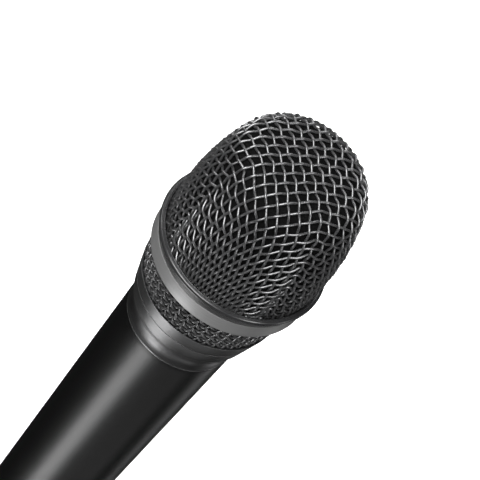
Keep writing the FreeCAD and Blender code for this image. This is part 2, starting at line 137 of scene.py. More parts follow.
def through(a, mid, b, count):
    """Points on the arc from a to b through mid: the circle's centre is equally far from all three."""
    a, mid, b = (np.asarray(p, float) for p in (a, mid, b))
    m = 2 * np.array([mid - a, b - a])
    centre = np.linalg.solve(m, np.array([mid @ mid - a @ a, b @ b - a @ a]))
    radius = np.linalg.norm(a - centre)
    angles = [math.atan2(p[1] - centre[1], p[0] - centre[0]) for p in (a, mid, b)]
    span = (angles[2] - angles[0]) % TAU
    if (angles[1] - angles[0]) % TAU > span:
        span -= TAU
    t = angles[0] + np.linspace(0, span, count)
    return np.stack([centre[0] + radius * np.cos(t), centre[1] + radius * np.sin(t)], 1)


def eased(outline, radius, count=4):
    """A closed outline with each corner sharper than SHARP rounded to the radius, or less on a short side.

    A rounded corner is the curve (1 - t)^2 start + 2 t (1 - t) corner + t^2 end. Other points stay.
    """
    p = np.concatenate([np.asarray(q, float).reshape(-1, 2) for q in outline])
    p = p[np.linalg.norm(p - np.roll(p, 1, 0), axis=1) > 1e-8]
    before, after = np.roll(p, 1, 0) - p, np.roll(p, -1, 0) - p
    before_length, after_length = np.linalg.norm(before, axis=1), np.linalg.norm(after, axis=1)
    before, after = before / before_length[:, None], after / after_length[:, None]
    bend = math.pi - np.arccos(np.clip((before * after).sum(1), -1, 1))
    sharp = bend >= SHARP
    back = np.minimum(radius * np.tan(bend / 2), 0.4 * np.minimum(before_length, after_length))
    back = np.where(sharp, back, 0.0)[:, None]
    start, corner, end = (p + before * back)[:, None], p[:, None], (p + after * back)[:, None]
    t = np.linspace(0, 1, count + 1)[None, :, None]
    curves = (1 - t) ** 2 * start + 2 * t * (1 - t) * corner + t ** 2 * end
    keep = np.repeat(sharp[:, None], count + 1, 1)
    keep[:, 0] = True
    return curves[keep]


def turned(name, outline, body, stands_for, segments=320, ridge=None):
    """Carries a closed (r, z) outline round the axis: x = r cos(angle), y = r sin(angle).

    ridge(r, z, angle) adds to r, as a thread does.
    """
    angle = np.linspace(0, TAU, segments, endpoint=False)
    r = np.broadcast_to(outline[:, 0], (segments, len(outline)))
    z = np.broadcast_to(outline[:, 1], r.shape)
    if ridge is not None:
        r = r + ridge(r, z, angle[:, None])
    points = np.stack([r * np.cos(angle)[:, None], r * np.sin(angle)[:, None], z], -1)
    n = len(outline)
    i, j = np.arange(segments)[:, None], np.arange(n)[None]
    i2, j2 = (i + 1) % segments, (j + 1) % n
    quads = np.stack([i * n + j, i2 * n + j, i2 * n + j2, i * n + j2], -1)
    return put_mesh(name, points, quads, [], body, stands_for)


def domed(name, outline, body, stands_for, segments, relief):
    """Carries an open (r, z) outline round the axis: x = r cos(angle), y = r sin(angle).

    The outline starts and ends on the axis, with one point at each pole. relief(points) roughens the rest.
    """
    angle = np.linspace(0, TAU, segments, endpoint=False)
    inner = outline[1:-1]
    n = len(inner)
    r = np.broadcast_to(inner[:, 0], (segments, n))
    z = np.broadcast_to(inner[:, 1], r.shape)
    points = np.stack([r * np.cos(angle)[:, None], r * np.sin(angle)[:, None], z], -1)
    poles = [[0, 0, outline[0, 1]], [0, 0, outline[-1, 1]]]
    points = np.concatenate([relief(points).reshape(-1, 3), poles])
    row = np.arange(segments) * n
    next_row = np.roll(row, -1)
    here, there = row[:, None] + np.arange(n - 1), next_row[:, None] + np.arange(n - 1)
    quads = np.stack([here, there, there + 1, here + 1], -1)
    first, last = segments * n, segments * n + 1
    top = np.stack([np.full(segments, first), next_row, row], 1)
    low = np.stack([np.full(segments, last), row + n - 1, next_row + n - 1], 1)
    return put_mesh(name, points, quads, np.concatenate([top, low]), body, stands_for)


def tubes(name, paths, normals, radius, body, stands_for, sides=8):
    """Carries a circle along each path: path + radius (cos(turn) up + sin(turn) side).

    side is square to the path and to the surface normal there, and up is square to side and path.
    """
    turn = np.linspace(0, TAU, sides, endpoint=False)[None, :, None]
    j = np.arange(sides)
    j2 = np.roll(j, -1)
    points, quads, tris, base = [], [], [], 0
    for path, normal in zip(paths, normals):
        along = np.gradient(path, axis=0)
        along /= np.linalg.norm(along, axis=1)[:, None]
        side = np.cross(along, normal)
        side /= np.linalg.norm(side, axis=1)[:, None]
        up = np.cross(side, along)
        rings = path[:, None] + radius * (np.cos(turn) * up[:, None] + np.sin(turn) * side[:, None])
        points += [rings.reshape(-1, 3), path[[0, -1]]]
        start = base + len(path) * sides
        far = start - sides
        ring = np.arange(base, far, sides)[:, None]
        quads.append(np.stack([ring + j, ring + sides + j, ring + sides + j2, ring + j2], -1).reshape(-1, 4))
        tris.append(np.stack([np.full(sides, start), base + j, base + j2], 1))
        tris.append(np.stack([np.full(sides, start + 1), far + j2, far + j], 1))
        base = start + 2
    points, quads, tris = np.concatenate(points), np.concatenate(quads), np.concatenate(tris)
    return put_mesh(name, points, quads, tris, body, stands_for)


# ------------------------------------------------ woven wire
class Dome:
    """The grille's outline as a table over the arc length from the apex.

    It gives the radius, the height and the angle of the normal above level. A skirt carries it straight down.
    """

    def __init__(self, inset, foot_z, skirt=0.0):
        side = np.array([WIDEST_R - SIDE_R, WIDEST_Z])
        crown = np.array([0.0, APEX_Z - CROWN_R])
        a, b = SIDE_R - SHOULDER_R, CROWN_R - SHOULDER_R
        d = crown - side
        gap = np.hypot(*d)
        along = (a * a - b * b + gap * gap) / (2 * gap)
        off = math.sqrt(a * a - along * along)
        shoulder = side + (along * d + off * np.array([-d[1], d[0]])) / gap
        low = math.atan2(*(shoulder - side)[::-1])
        high = math.atan2(*(shoulder - crown)[::-1])
        r_side, r_shoulder, r_crown = SIDE_R - inset, SHOULDER_R - inset, CROWN_R - inset
        foot = math.asin((foot_z - side[1]) / r_side)
        spans = [r_crown * (math.pi / 2 - high), r_shoulder * (high - low), r_side * (low - foot)]
        lengths = np.cumsum(spans)
        s = np.linspace(0, lengths[2], OUTLINE_POINTS)
        part = np.searchsorted(lengths[:2], s)
        radius = np.array([r_crown, r_shoulder, r_side])[part]
        centre = np.array([crown, shoulder, side])[part]
        begin = np.array([math.pi / 2, high, low])[part]
        before = np.array([0.0, lengths[0], lengths[1]])[part]
        self.angle = begin - (s - before) / radius
        self.s = s
        self.r = centre[:, 0] + radius * np.cos(self.angle)
        self.z = centre[:, 1] + radius * np.sin(self.angle)
        if skirt:
            t = np.linspace(0, skirt, SKIRT_POINTS)[1:]
            self.s = np.r_[self.s, self.s[-1] + t]
            self.r = np.r_[self.r, np.full(len(t), self.r[-1])]
            self.z = np.r_[self.z, self.z[-1] - t]
            self.angle = np.r_[self.angle, np.zeros(len(t))]
        self.eye = EYE_Z
        self.polar = np.arctan2(self.r, self.z - self.eye)

    def at(self, s, round_angle):
        """Points at an arc length and an angle round the axis: (r(s) cos(angle), r(s) sin(angle), z(s))."""
        r, z = np.interp(s, self.s, self.r), np.interp(s, self.s, self.z)
        return np.stack([r * np.cos(round_angle), r * np.sin(round_angle), z], -1)

    def place(self, p):
        """Arc length and angle of the points of the dome in line with p, as seen from a point on the axis."""
        polar = np.arctan2(np.hypot(p[..., 0], p[..., 1]), p[..., 2] - self.eye)
        s = np.interp(polar, self.polar, self.s)
        return s, np.arctan2(p[..., 1], p[..., 0])

    def normal(self, s, round_angle):
        """Outward unit normals: the outline's own, turned round the axis."""
        a = np.interp(s, self.s, self.angle)
        return np.stack([np.cos(a) * np.cos(round_angle), np.cos(a) * np.sin(round_angle), np.sin(a)], -1)


def nearest_knots(dome, a, b, before, pitch):
    """Points of the dome one pitch from both a and b, on the far side from before.

    Newton steps in arc length and angle solve |x - a|^2 = |x - b|^2 = pitch^2.
    """
    s, f = dome.place(a + b - before)
    for _ in range(NEWTON_STEPS):
        x = dome.at(s, f)
        slope = np.interp(s, dome.s, dome.angle)
        down = np.stack([np.sin(slope) * np.cos(f), np.sin(slope) * np.sin(f), -np.cos(slope)], -1)
        across = np.stack([-x[:, 1], x[:, 0], 0 * f], -1)
        u, v = x - a, x - b
        e1, e2 = (u * u).sum(1) - pitch ** 2, (v * v).sum(1) - pitch ** 2
        j11, j12 = 2 * (u * down).sum(1), 2 * (u * across).sum(1)
        j21, j22 = 2 * (v * down).sum(1), 2 * (v * across).sum(1)
        det = j11 * j22 - j12 * j21
        det = np.where(abs(det) < 1e-15, 1e-15, det)
        s = s - np.clip((e1 * j22 - j12 * e2) / det, -pitch / 2, pitch / 2)
        f = f - np.clip((j11 * e2 - j21 * e1) / det, -0.2, 0.2)
    x = dome.at(s, f)
    miss_a = abs(np.linalg.norm(x - a, axis=1) - pitch)
    miss_b = abs(np.linalg.norm(x - b, axis=1) - pitch)
    return x, (np.maximum(miss_a, miss_b) < 1e-3 * pitch) & (s < dome.s[-1] - 1e-6)


def fish_net(dome, pitch, count):
    """One quarter of a net with knots one pitch apart, laid on the dome from its apex.

    Two wires run straight down the dome from the apex, a quarter turn apart. The rest grows one diagonal of
    knots at a time, each knot one pitch from its two earlier neighbours.
    """
    net = np.full((count + 1, count + 1, 3), np.nan)
    s, steps = 0.0, [0.0]
    while len(steps) <= count:
        here, s = dome.at(s, 0.0), s + pitch
        for _ in range(NEWTON_STEPS):
            s += pitch - np.linalg.norm(dome.at(s, 0.0) - here)
        steps.append(s if s < dome.s[-1] else np.nan)
    steps = np.array(steps)
    net[:, 0] = dome.at(steps, 0 * steps)
    net[0, :] = dome.at(steps, 0 * steps + TAU / 4)
    for diagonal in range(2, 2 * count + 1):
        i = np.arange(max(1, diagonal - count), min(count, diagonal - 1) + 1)
        j = diagonal - i
        known = ~np.isnan(net[i - 1, j, 0] + net[i, j - 1, 0] + net[i - 1, j - 1, 0])
        i, j = i[known], j[known]
        if not len(i):
            continue
        x, good = nearest_knots(dome, net[i - 1, j], net[i, j - 1], net[i - 1, j - 1], pitch)
        net[i[good], j[good]] = x[good]
    return net


def settle(net, dome, pitch, lock):
    """Moves the knots until sheared wires are no closer than the lock distance.

    Each round pulls linked knots towards one pitch apart, pushes knots across a squeezed cell apart to the
    lock distance, averages the moves of each knot, straightens the wires a little towards the middle of
    each knot's two neighbours, makes the two halves mirror each other, and puts the knots back on the dome.
    """
    there = ~np.isnan(net[..., 0] + net[..., 0].T)
    net = np.where(there[..., None], net, 0.0)
    rows = there[:-2] & there[1:-1] & there[2:]
    columns = there[:, :-2] & there[:, 1:-1] & there[:, 2:]
    links = [
        ((slice(0, -1), slice(None)), (slice(1, None), slice(None)), pitch, False),
        ((slice(None), slice(0, -1)), (slice(None), slice(1, None)), pitch, False),
        ((slice(1, None), slice(0, -1)), (slice(0, -1), slice(1, None)), lock, True),
    ]
    for _ in range(SETTLE_ROUNDS):
        move, hits = np.zeros_like(net), np.zeros(there.shape)
        for a, b, rest, only_push in links:
            d = net[b] - net[a]
            length = np.maximum(np.linalg.norm(d, axis=-1), 1e-9)
            on = there[a] & there[b]
            if only_push:
                folded = net[a][..., 0] * net[b][..., 1] < net[a][..., 1] * net[b][..., 0]
                length = np.where(folded, -length, length)
                on &= length < rest
            c = np.where(on, (length - rest) / length, 0)[..., None] * d * 0.5
            move[a] += c
            move[b] -= c
            hits[a] += on
            hits[b] += on
        net = net + OVERSHOOT * move / np.maximum(hits, 1)[..., None]
        bend = np.zeros_like(net)
        bend[1:-1] += np.where(rows[..., None], (net[:-2] + net[2:]) / 2 - net[1:-1], 0)
        bend[:, 1:-1] += np.where(columns[..., None], (net[:, :-2] + net[:, 2:]) / 2 - net[:, 1:-1], 0)
        net = net + STIFFNESS * bend
        net = (net + net.transpose(1, 0, 2)[..., [1, 0, 2]]) / 2
        net[:, 0, 1] = 0
        net[0, :, 0] = 0
        s, f = dome.place(net)
        net = np.where(there[..., None], dome.at(s, f), 0.0)
        net[0, 0] = (0, 0, dome.z[0])
    return np.where(there[..., None], net, np.nan)


def whole_net(quarter):
    """Mirrors the quarter into all four, and turns the wires to lie across the diagonals of X and Y."""
    half = np.concatenate([quarter[:0:-1] * (-1, 1, 1), quarter], 0)
    full = np.concatenate([half[:, :0:-1] * (1, -1, 1), half], 1)
    c = math.sqrt(0.5)
    return full @ np.array([[c, c, 0], [-c, c, 0], [0, 0, 1]])


def smooth_path(knots, steps):
    """Catmull-Rom curve through the knots, and the knot number at each point."""
    ends = np.concatenate([2 * knots[:1] - knots[1:2], knots, 2 * knots[-1:] - knots[-2:-1]])
    number = np.linspace(0, len(knots) - 1, (len(knots) - 1) * steps + 1)
    k = np.minimum(number.astype(int), len(knots) - 2)
    t = (number - k)[:, None]
    p0, p1, p2, p3 = (ends[k + m] for m in range(4))
    curved = (2 * p0 - 5 * p1 + 4 * p2 - p3) * t ** 2 + (3 * p1 - p0 - 3 * p2 + p3) * t ** 3
    return 0.5 * (2 * p1 + (p2 - p0) * t + curved), number


def woven(dome, net, wave, foot_z):
    """Centre lines and surface normals of the wires that run one way through the net.

    A wire lies off the dome by wave * cos(pi * knot number), so it is out at one knot and in at the next.
    """
    paths, normals = [], []
    middle = net.shape[1] // 2
    for i, row in enumerate(net):
        fine = ~np.isnan(row[:, 0]) & (np.nan_to_num(row[:, 2]) > foot_z - 6 * MM)
        if not fine[middle] or row[middle, 2] < foot_z + 1 * MM:
            continue
        gaps = np.flatnonzero(~fine)
        first = gaps[gaps < middle].max(initial=-1) + 1
        last = gaps[gaps > middle].min(initial=len(row)) - 1
        curve, number = smooth_path(row[first:last + 1], KNOT_STEPS)
        s, f = dome.place(curve)
        out = dome.normal(s, f)
        lift = wave * np.cos(math.pi * (number + first + i))
        path = dome.at(s, f) + out * lift[:, None]
        keep = path[:, 2] > foot_z
        paths.append(path[keep])
        normals.append(out[keep])
    return paths, normals


# ------------------------------------------------ materials
def shader(name):
    """A new material, its node tree and its shader node."""
    mat = bpy.data.materials.new(name)
    mat.use_nodes = True
    tree = mat.node_tree
    return mat, tree, tree.nodes["Principled BSDF"]


def coords(tree, stretch=(1, 1, 1)):
    """Object coordinates in metres through a Mapping that stretches the pattern."""
    source = tree.nodes.new("ShaderNodeTexCoord")
    mapping = tree.nodes.new("ShaderNodeMapping")
    mapping.inputs["Scale"].default_value = stretch
    tree.links.new(source.outputs["Object"], mapping.inputs["Vector"])
    return mapping.outputs["Vector"]


def noise(tree, vector, scale, detail=3.0, rough=0.5):
    """Smooth random field between 0 and 1."""
    node = tree.nodes.new("ShaderNodeTexNoise")
    node.inputs["Scale"].default_value = scale
    node.inputs["Detail"].default_value = detail
    node.inputs["Roughness"].default_value = rough
    tree.links.new(vector, node.inputs["Vector"])
    return node.outputs["Fac"]


def ranged(tree, value, low, high, start=0.3, end=0.7):
    """The value from start to end, carried over to low to high and held at the ends."""
    node = tree.nodes.new("ShaderNodeMapRange")
    for key, number in (("From Min", start), ("From Max", end), ("To Min", low), ("To Max", high)):
        node.inputs[key].default_value = number
    tree.links.new(value, node.inputs["Value"])
    return node.outputs["Result"]


def tinted(tree, value, dark, light, start=0.3, end=0.7):
    """A colour that goes from dark to light as the value goes from start to end."""
    node = tree.nodes.new("ShaderNodeValToRGB")
    ramp = node.color_ramp
    ramp.elements[0].position, ramp.elements[1].position = start, end
    ramp.elements[0].color, ramp.elements[1].color = (*dark, 1), (*light, 1)
    tree.links.new(value, node.inputs["Fac"])
    return node.outputs["Color"]


def bumped(tree, value, distance):
    """Normals of a relief whose height goes up with the value, distance high."""
    node = tree.nodes.new("ShaderNodeBump")
    node.inputs["Distance"].default_value = distance
    node.inputs["Strength"].default_value = 1.0
    tree.links.new(value, node.inputs["Height"])
    return node.outputs["Normal"]


def shaded(colour, factor):
    """The colour times the factor, held below white."""
    return tuple(min(1.0, c * factor) for c in colour)


def spread_tint(tree, value, colour, spread):
    """A colour that strays from its middle by the spread, as a share, either way."""
    return tinted(tree, value, shaded(colour, 1 - spread), shaded(colour, 1 + spread))


def painted(name, colour, rough=0.4, metal=0.0, grain=2500.0, depth=0.004 * MM, spread=0.15):
    """Sprayed coat: fine orange peel, slow changes of gloss, and faint dust."""
    mat, tree, bsdf = shader(name)
    place = coords(tree)
    fine = noise(tree, place, grain, 4.0, 0.6)
    slow = noise(tree, place, 60.0, 2.0)
    tree.links.new(spread_tint(tree, slow, colour, spread), bsdf.inputs["Base Color"])
    tree.links.new(ranged(tree, fine, rough - 0.05, rough + 0.05), bsdf.inputs["Roughness"])
    tree.links.new(bumped(tree, fine, depth), bsdf.inputs["Normal"])
    bsdf.inputs["Metallic"].default_value = metal
    return mat


def tool_marks(tree):
    """Fine rings round the axis, as a lathe leaves: noise stretched a hundredfold along X and Y."""
    return noise(tree, coords(tree, (0.01, 0.01, 1.0)), 9000.0, 3.0, 0.6)


def machined(name, colour, rough):
    """Turned metal: tool marks, with a gloss that changes slowly."""
    mat, tree, bsdf = shader(name)
    rings = tool_marks(tree)
    slow = noise(tree, coords(tree), 90.0, 3.0)
    tree.links.new(spread_tint(tree, rings, colour, 0.12), bsdf.inputs["Base Color"])
    tree.links.new(ranged(tree, slow, rough - 0.04, rough + 0.05), bsdf.inputs["Roughness"])
    tree.links.new(bumped(tree, rings, MARK_DEPTH), bsdf.inputs["Normal"])
    bsdf.inputs["Metallic"].default_value = 1.0
    return mat


def part_painted(name, metal_colour, paint_colour, low_z, high_z):
    """Turned metal that is painted above a height: one finish gives way to the other from low_z to high_z."""
    metal_share, metal_rough, paint_rough = 0.6, 0.45, 0.25
    mat, tree, bsdf = shader(name)
    rings = tool_marks(tree)
    slow = noise(tree, coords(tree), 90.0, 3.0)
    split = tree.nodes.new("ShaderNodeSeparateXYZ")
    tree.links.new(coords(tree), split.inputs["Vector"])
    share = ranged(tree, split.outputs["Z"], 0.0, 1.0, low_z, high_z)
    mix = tree.nodes.new("ShaderNodeMix")
    mix.data_type = "RGBA"
    tree.links.new(share, mix.inputs["Factor"])
    tree.links.new(spread_tint(tree, rings, metal_colour, 0.12), mix.inputs["A"])
    tree.links.new(spread_tint(tree, slow, paint_colour, 0.15), mix.inputs["B"])
    tree.links.new(mix.outputs["Result"], bsdf.inputs["Base Color"])
    tree.links.new(ranged(tree, share, metal_share, 0.0, 0.0, 1.0), bsdf.inputs["Metallic"])
    gloss = tree.nodes.new("ShaderNodeMath")
    gloss.operation = "MULTIPLY_ADD"
    tree.links.new(share, gloss.inputs[0])
    gloss.inputs[1].default_value = paint_rough - metal_rough
    tree.links.new(ranged(tree, slow, metal_rough - 0.03, metal_rough + 0.03), gloss.inputs[2])
    tree.links.new(gloss.outputs[0], bsdf.inputs["Roughness"])
    tree.links.new(bumped(tree, rings, MARK_DEPTH), bsdf.inputs["Normal"])
    return mat


def cellular(name, colour, cell=0.45 * MM):
    """Open-cell foam: pale struts, with painted shade darkening the pores between them."""
    mat, tree, bsdf = shader(name)
    node = tree.nodes.new("ShaderNodeTexVoronoi")
    node.feature = "DISTANCE_TO_EDGE"
    node.inputs["Scale"].default_value = 1 / cell
    tree.links.new(coords(tree), node.inputs["Vector"])
    strut_and_pore_shade = ranged(tree, node.outputs["Distance"], 1.0, 0.0, 0.02, 0.22)
    # Painted shade: the pores are darkened to a tenth of the foam's colour and the struts lightened. The same
    # pattern also drives the bump.
    tint = tinted(tree, strut_and_pore_shade, shaded(colour, 0.1), shaded(colour, 1.5), 0.35, 0.95)
    tree.links.new(tint, bsdf.inputs["Base Color"])
    tree.links.new(bumped(tree, strut_and_pore_shade, 0.12 * MM), bsdf.inputs["Normal"])
    bsdf.inputs["Roughness"].default_value = 0.9
    bsdf.inputs["Specular IOR Level"].default_value = 0.08
    return mat


def ribs(tree, axis, width, distortion=0.0):
    """Parallel ribs square to an axis; a Wave texture of scale 1 has ribs a twentieth of a unit wide."""
    wave = tree.nodes.new("ShaderNodeTexWave")
    wave.bands_direction = axis
    wave.inputs["Scale"].default_value = 1 / (width * 20)
    wave.inputs["Distortion"].default_value = distortion
    tree.links.new(coords(tree), wave.inputs["Vector"])
    return wave.outputs["Fac"]


def cloth(name, colour, thread=0.25 * MM):
    """Fine woven cloth: two crossed sets of ribs, with painted shade between the crossings."""
    mat, tree, bsdf = shader(name)
    both = tree.nodes.new("ShaderNodeMath")
    both.operation = "MULTIPLY"
    tree.links.new(ribs(tree, "X", thread, 0.4), both.inputs[0])
    tree.links.new(ribs(tree, "Y", thread, 0.4), both.inputs[1])
    weave = both.outputs[0]
    # Painted shade and highlight: the colour is lighter where the ribs cross and darker between them. The
    # same pattern drives the bump.
    tint = tinted(tree, weave, shaded(colour, 0.4), shaded(colour, 1.5), 0.1, 0.8)
    tree.links.new(tint, bsdf.inputs["Base Color"])
    tree.links.new(bumped(tree, weave, 0.05 * MM), bsdf.inputs["Normal"])
    bsdf.inputs["Roughness"].default_value = 0.9
    return mat


def wound(name, colour, wire=0.09 * MM):
    """Enamelled winding: one fine ridge for each turn of wire, with painted shade in the grooves between
    turns.
    """
    mat, tree, bsdf = shader(name)
    turns = ribs(tree, "Z", wire)
    # Painted shade and highlight: the colour is darker between the turns and lighter on their crests.
    tint = tinted(tree, turns, shaded(colour, 0.5), shaded(colour, 1.2), 0.1, 0.9)
    tree.links.new(tint, bsdf.inputs["Base Color"])
    tree.links.new(bumped(tree, turns, 0.03 * MM), bsdf.inputs["Normal"])
    bsdf.inputs["Metallic"].default_value = 1.0
    bsdf.inputs["Roughness"].default_value = 0.28
    return mat


def moulded(name, colour, rough=0.5, grain=1800.0):
    """Moulded plastic or rubber: fine spark-eroded grain and slow changes of gloss."""
    return painted(name, colour, rough, 0.0, grain, 0.008 * MM, 0.2)


def filmy(name, colour):
    """Thin clear film with faint cockles."""
    mat, tree, bsdf = shader(name)
    slow = noise(tree, coords(tree), 400.0, 2.0)
    tree.links.new(tinted(tree, slow, shaded(colour, 0.8), colour), bsdf.inputs["Base Color"])
    tree.links.new(bumped(tree, slow, 0.03 * MM), bsdf.inputs["Normal"])
    bsdf.inputs["Roughness"].default_value = 0.12
    bsdf.inputs["Transmission Weight"].default_value = 0.35
    return mat


def dress(piece, mat):
    """Gives the piece one material and hands the piece back."""
    piece.data.materials.clear()
    piece.data.materials.append(mat)
    return piece


def once(name, make, *args, **words):
    """The material of that name, made the first time that it is asked for."""
    return bpy.data.materials.get(name) or make(name, *args, **words)


# ------------------------------------------------ settings
class GrilleSettings(PropertyGroup):
    pitch: FloatProperty(name="Pitch", description="Distance between wires of the upper grille",
                         default=2.95 * MM, unit="LENGTH")
    wire: FloatProperty(name="Wire", description="Diameter of the grille wire",
                        default=0.72 * MM, unit="LENGTH")
    lock: FloatProperty(name="Lock", description="Closest that sheared wires come to each other",
                        default=1.3 * MM, unit="LENGTH")
    strip_around: IntProperty(name="Strip wires", description="Wires each way round the lower grille",
                              default=44)
    strip_rise: FloatProperty(name="Strip rise", description="Height from one crossing to the next but one",
                              default=3.2 * MM, unit="LENGTH")
    colour: FloatVectorProperty(name="Wire colour", description="Coating of the wire", subtype="COLOR",
                                default=(0.13, 0.13, 0.132))


class FinishSettings(PropertyGroup):
    handle: FloatVectorProperty(name="Handle", description="Paint of the handle", subtype="COLOR",
                                default=(0.0015, 0.0015, 0.0016))
    neck: FloatVectorProperty(name="Neck", description="Metal of the collar and neck ring", subtype="COLOR",
                              default=(0.17, 0.17, 0.172))
    rim: FloatVectorProperty(name="Rim", description="Coating of the bead above the band", subtype="COLOR",
                             default=(0.018, 0.018, 0.0185))
    band: FloatVectorProperty(name="Band", description="Metal of the band", subtype="COLOR",
                              default=(0.24, 0.24, 0.24))
    foam: FloatVectorProperty(name="Foam", description="Foam behind the wires", subtype="COLOR",
                              default=(0.0035, 0.0035, 0.0035))


class StageSettings(PropertyGroup):
    tilt: FloatProperty(name="Tilt", description="Height of the camera above the horizon", subtype="ANGLE",
                        default=math.radians(47.5))
    roll: FloatProperty(name="Roll", description="Roll of the camera about its own axis", subtype="ANGLE",
                        default=math.radians(39.67))
    distance: FloatProperty(name="Distance", description="From the camera to the lip of the band",
                            default=1.4706, unit="LENGTH")
    lens: FloatProperty(name="Lens", description="Focal length in millimetres on a 36 mm sensor",
                        default=398.95)
    shift_right: FloatProperty(name="Right of centre", description="From the view's centre to the lip's",
                               default=0.82 * MM, unit="LENGTH")
    shift_up: FloatProperty(name="Above centre", description="From the view's centre up to the lip's",
                            default=-1.72 * MM, unit="LENGTH")
    key: FloatProperty(name="Key light", description="Power of the light above the grille", default=54.0)
    streak: FloatProperty(name="Streak light", description="Power of the low light in front of the handle",
                          default=3.4)
    edge: FloatProperty(name="Edge light", description="Power of the low light at the far right", default=0.3)
    fill: FloatProperty(name="Fill light", description="Power of the broad low light, right", default=0.5)
    ambient: FloatProperty(name="Ambient", description="Strength of the even light all round", default=0.004)


def settings():
    """The grille's, the finish's and the stage's settings."""
    scene = bpy.context.scene
    return scene.mic_grille, scene.mic_finish, scene.mic_stage


# ------------------------------------------------ pieces
def wire_coat(grille):
    """The thin dark metallic coat of all the grille wire."""
    return once("grille_wire_coat", painted, tuple(grille.colour), 0.28, 0.75, 5000.0, 0.01 * MM, 0.1)


def zinc_plate():
    return once("zinc_plate", machined, (0.45, 0.45, 0.44), 0.4)


class MIC_OT_upper_grille(Operator):
    """Weave the domed grille: one piece for each direction of the wire"""
    bl_idname = "mic.upper_grille"
    bl_label = "Weave upper grille"

    def execute(self, context):
        grille = settings()[0]
        dome = Dome(1.12 * grille.wire, LIP_Z - 3 * MM, 30 * MM)
        quarter = fish_net(dome, grille.pitch, NET_KNOTS)
        quarter = np.where((quarter[..., 2] > LIP_Z - 8 * MM)[..., None], quarter, np.nan)
        net = whole_net(settle(quarter, dome, grille.pitch, grille.lock))
        foot_z = MESH_FOOT_Z + 0.1 * MM
        deep = grille.wire * WARP_WAVE
        for name, lattice, wave in (("upper_grille_warp", net, deep),
                                    ("upper_grille_weft", net.transpose(1, 0, 2), deep - grille.wire)):
            paths, normals = woven(dome, lattice, wave, foot_z)
            net_piece = tubes(name, paths, normals, grille.wire / 2, "grille", ("upper_mesh",))
            dress(net_piece, wire_coat(grille))
        return {"FINISHED"}


def strip_line(t):
    """Radius of the lower grille's middle surface for t from 0 at its foot to 1 at its top.

    It is a straight cone plus a bow of STRIP_BOW * 4 t (1 - t).
    """
    return STRIP_FOOT_R + t * (STRIP_TOP_R - STRIP_FOOT_R) + STRIP_BOW * 4 * t * (1 - t)


class MIC_OT_lower_grille(Operator):
    """Weave the conical strip below the band: two crossing sets of wires that wind round it"""
    bl_idname = "mic.lower_grille"
    bl_label = "Weave lower grille"

    def execute(self, context):
        grille = settings()[0]
        low, height = STRIP_LOW.z + 0.15 * MM, STRIP_HIGH.z - STRIP_LOW.z - 0.3 * MM
        crossings = int(2 * height / grille.strip_rise) + 1
        number = np.arange(crossings * KNOT_STEPS + 1) / KNOT_STEPS
        t = np.minimum(number * grille.strip_rise / 2 / height, 1.0)
        count = int(np.argmax(t >= 1.0)) + 1 if (t >= 1.0).any() else len(t)
        number, t = number[:count], t[:count]
        lean = math.atan2(STRIP_FLARE, STRIP_SLANT)
        wave = grille.wire / 2 + 0.01 * MM
        r = strip_line(t)
        for name, side in (("lower_grille_warp", 1), ("lower_grille_weft", -1)):
            lift = side * wave * np.cos(math.pi * number)
            start = TAU / grille.strip_around * np.arange(grille.strip_around)
            angle = start[:, None] + TAU / grille.strip_around * side * number / 2
            out = np.stack([np.cos(angle) * math.cos(lean), np.sin(angle) * math.cos(lean),
                            np.full(angle.shape, -math.sin(lean))], -1)
            z = np.broadcast_to(low + t * height, angle.shape)
            paths = np.stack([r * np.cos(angle), r * np.sin(angle), z], -1) + out * lift[:, None]
            strip = tubes(name, paths, out, grille.wire / 2, "grille", ("lower_mesh",))
            dress(strip, wire_coat(grille))
        return {"FINISHED"}


def pitted(points):
    """Foam relief: seeded grain, smoothed once both ways, moves each point towards or from the axis."""
    rng = np.random.default_rng(SEED)
    grain = rng.normal(size=points.shape[:2])
    grain = grain + np.roll(grain, 1, 0) + np.roll(grain, -1, 0)
    grain[:, 1:-1] += grain[:, :-2] + grain[:, 2:]
    grain *= 0.05 * MM / grain.std()
    grain = np.clip(grain, -0.12 * MM, 0.1 * MM)
    return points * (1 + grain / WIDEST_R)[..., None] * (1, 1, 0) + points * (0, 0, 1)


class MIC_OT_foam(Operator):
    """Line both grilles with open-cell foam"""
    bl_idname = "mic.foam"
    bl_label = "Fit foam"

    def execute(self, context):
        finish = settings()[1]
        mat = once("foam_open_cell", cellular, tuple(finish.foam))
        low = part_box("foam_liner")[0].z
        outer, inner = Dome(LINER_FRONT, low), Dome(LINER_BACK, low)
        up = np.stack([outer.r, outer.z], 1)[::15]
        down = np.stack([inner.r, inner.z], 1)[::30][::-1]
        outline = np.concatenate([up, down])
        liner = domed("windscreen_foam", outline, "windscreen", ("foam_liner",), 320, pitted)
        dress(liner, mat)
        strip_low, strip_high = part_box("foam_strip")
        t = np.linspace(0, 1, 40)
        z = strip_low.z + t * (strip_high.z - strip_low.z)
        share = (z - STRIP_LOW.z) / (STRIP_HIGH.z - STRIP_LOW.z)
        face = np.stack([strip_line(share) - RING_DEPTH, z], 1)
        outline = eased([face, face[::-1] - (RING_WALL, 0)], 0.3 * MM)
        strip = turned("foam_ring", outline, "windscreen", ("foam_strip",), 256)
        dress(strip, mat)
        return {"FINISHED"}


def grooved_bead(centre, radius):
    """The bead's outline from 30 degrees below level, over the top, to its inner side.

    Its radius dips at three lines near the grille, each by depth * exp(-((angle - line) / width)^2).
    """
    lines, width, depth = (62, 88, 114), 3.2, 0.16
    angle = np.linspace(-30, 180, 90)
    dip = sum(np.exp(-((angle - line) / width) ** 2) for line in lines)
    r = radius * (1 - depth * dip)
    t = np.radians(angle)
    return np.stack([centre[0] + r * np.cos(t), centre[1] + r * np.sin(t)], 1)


